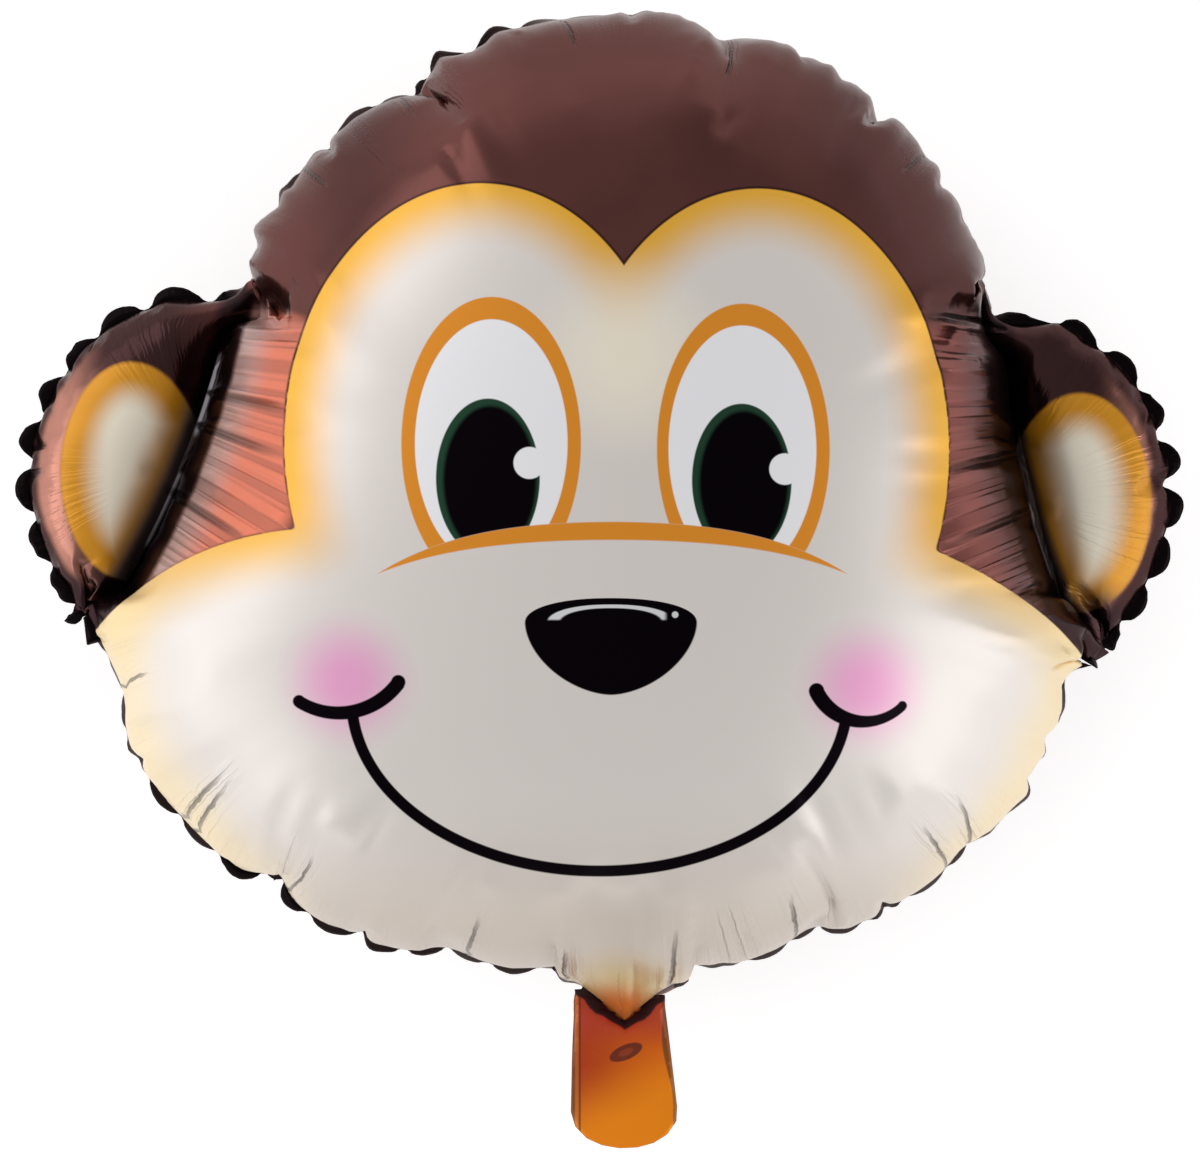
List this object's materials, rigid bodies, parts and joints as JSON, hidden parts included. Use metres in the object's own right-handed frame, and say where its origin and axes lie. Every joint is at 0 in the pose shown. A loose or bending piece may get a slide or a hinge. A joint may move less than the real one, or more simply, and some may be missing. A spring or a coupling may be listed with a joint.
{
  "type": "foil monkey balloon",
  "caption": "Blown-up printed foil party balloon shaped as a monkey's head, with a puckered welded rim and a flat filling neck, lying on its back.",
  "frame": {"origin": "middle of the small flat spot on the back sheet that the balloon lies on", "axes": "+Z out of the face, +X to the monkey's left ear (right in the picture), -Y along the filling neck"},
  "size_m": [0.5998, 0.5844, 0.2945],
  "materials": {
    "front_print": "glossy metallised film printed in brown, cream and orange",
    "back_print": "glossy metallised film printed dark brown all over"
  },
  "bodies": {
    "root": {"front_foil": "front_print", "back_foil": "back_print"}
  },
  "joints": []
}
